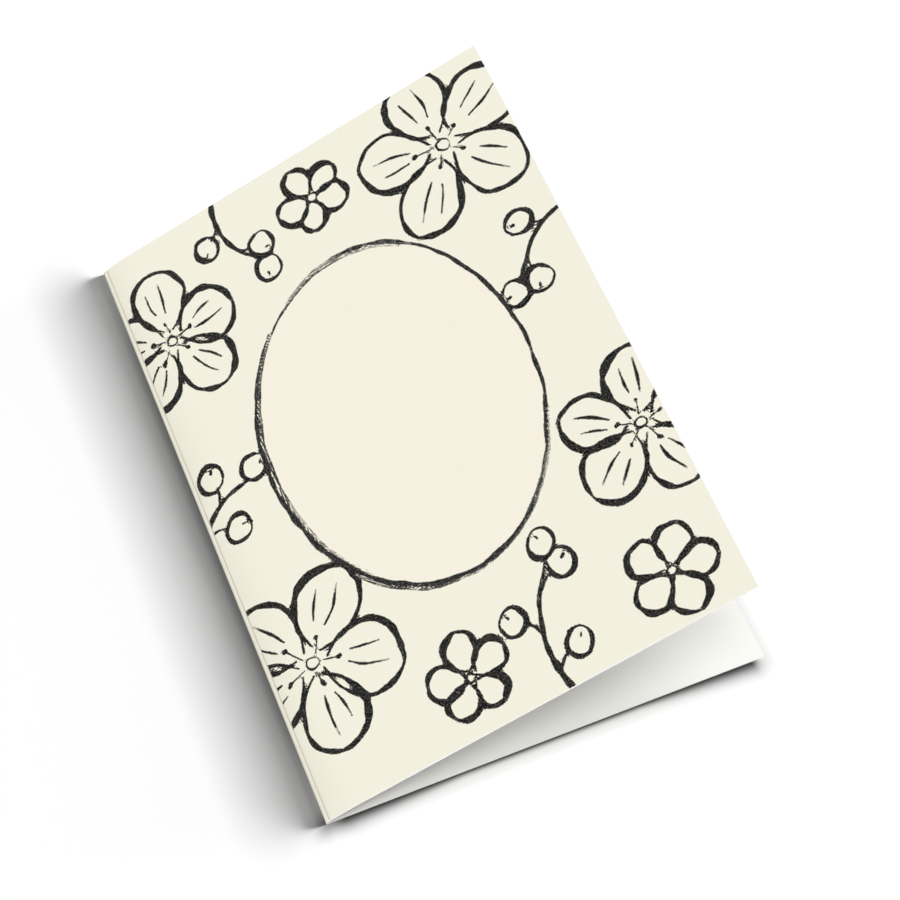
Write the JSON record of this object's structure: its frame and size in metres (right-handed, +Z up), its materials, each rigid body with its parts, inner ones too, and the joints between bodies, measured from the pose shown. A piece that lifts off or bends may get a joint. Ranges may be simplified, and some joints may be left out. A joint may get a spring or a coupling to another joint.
{
  "type": "greeting card",
  "caption": "Folded greeting card of stiff printed board, lying on its back panel with the front panel sprung open from a scored fold.",
  "frame": {"origin": "centre of the box's underside, on the surface that the back panel lies on", "axes": "+X from the fold to the free edges, +Y along the fold from the card's foot to its head, +Z up"},
  "size_m": [0.148, 0.21, 0.0649],
  "materials": {
    "printed_board": "uncoated matt board, cream print outside, plain white inside"
  },
  "bodies": {
    "root": {"folded_card": "printed_board"}
  },
  "joints": []
}
